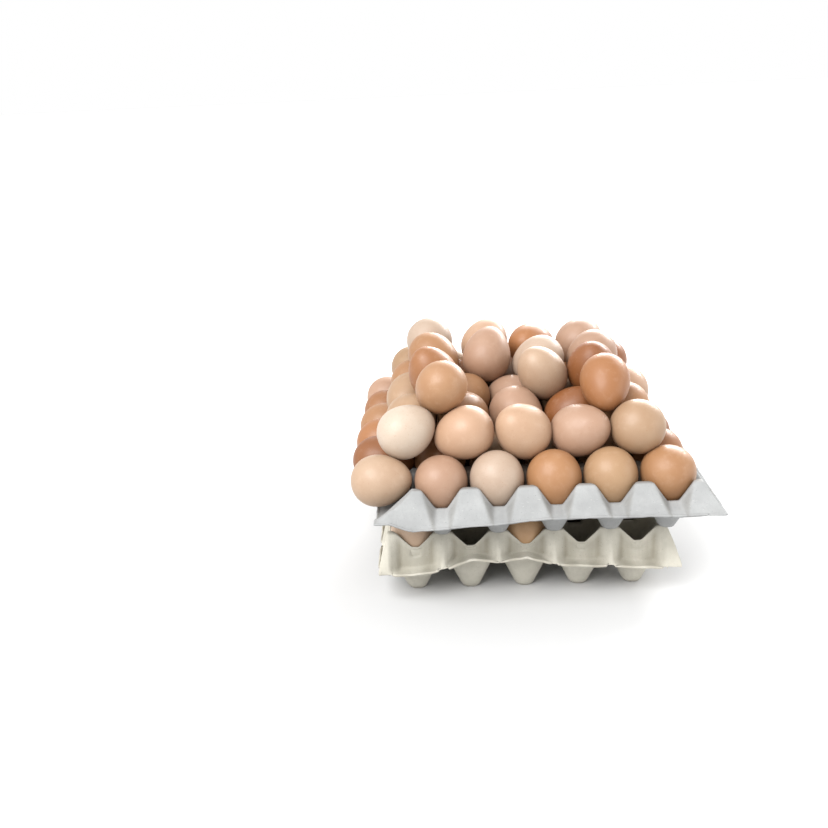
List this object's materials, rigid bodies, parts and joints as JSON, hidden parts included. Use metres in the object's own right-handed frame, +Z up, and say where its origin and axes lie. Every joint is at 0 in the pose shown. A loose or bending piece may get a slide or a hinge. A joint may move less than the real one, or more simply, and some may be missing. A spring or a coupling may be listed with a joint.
{
  "type": "egg tray stack with eggs",
  "caption": "Stacked open moulded-pulp egg trays, the upper one filled and heaped in layers with brown eggs, with more eggs in the tray below.",
  "frame": {"origin": "centre of the bounding box on the resting plane under the lower tray's cup bottoms", "axes": "+Z up, the front of the stack towards -Y, +X to the right seen from the front"},
  "size_m": [0.3118, 0.3502, 0.209],
  "materials": {
    "shell_tan": "satin, smooth, tan-brown eggshell",
    "shell_peach": "satin, smooth, light peach-tan eggshell",
    "shell_brown": "satin, smooth, brown eggshell",
    "shell_cream": "satin, smooth, pale cream-pink eggshell",
    "shell_rose": "satin, smooth, pinkish brown eggshell",
    "shell_golden": "satin, smooth, golden tan eggshell",
    "upper_pulp": "matt, fibrous, pale cool grey moulded pulp",
    "lower_pulp": "matt, fibrous, warm beige-grey moulded pulp"
  },
  "bodies": {
    "root": {"lower_tray": "lower_pulp", "upper_tray": "upper_pulp", "lower_egg_0_0": "shell_tan", "lower_egg_2_0": "shell_peach", "lower_egg_4_2": "shell_brown", "lower_egg_4_5": "shell_cream", "lower_egg_1_5": "shell_rose", "lower_egg_0_3": "shell_golden", "first_egg_0_0": "shell_tan", "first_egg_1_0": "shell_peach", "first_egg_2_0": "shell_brown", "first_egg_3_0": "shell_cream", "first_egg_4_0": "shell_rose", "rim_egg_0": "shell_golden", "first_egg_4_1": "shell_rose", "first_egg_4_2": "shell_rose", "first_egg_4_3": "shell_rose", "first_egg_4_4": "shell_rose", "first_egg_0_5": "shell_tan", "first_egg_1_5": "shell_peach", "first_egg_2_5": "shell_brown", "first_egg_3_5": "shell_cream", "first_egg_4_5": "shell_rose", "rim_egg_5": "shell_golden", "second_egg_0_1": "shell_tan", "second_egg_1_1": "shell_peach", "second_egg_2_1": "shell_brown", "second_egg_3_1": "shell_cream", "second_egg_4_1": "shell_rose", "second_egg_4_2": "shell_cream", "second_egg_4_3": "shell_brown", "second_egg_4_4": "shell_peach", "second_egg_0_5": "shell_brown", "second_egg_1_5": "shell_cream", "second_egg_2_5": "shell_rose", "second_egg_3_5": "shell_golden", "second_egg_4_5": "shell_tan", "third_egg_0_1": "shell_peach", "third_egg_3_1": "shell_brown", "third_egg_0_2": "shell_cream", "third_egg_2_2": "shell_rose", "third_egg_3_2": "shell_golden", "third_egg_0_3": "shell_tan", "third_egg_1_3": "shell_peach", "third_egg_2_3": "shell_brown", "third_egg_3_3": "shell_cream", "third_egg_0_4": "shell_rose", "third_egg_1_4": "shell_golden", "third_egg_2_4": "shell_tan", "third_egg_3_4": "shell_peach", "heap_core_eggs": "shell_tan"}
  },
  "joints": []
}
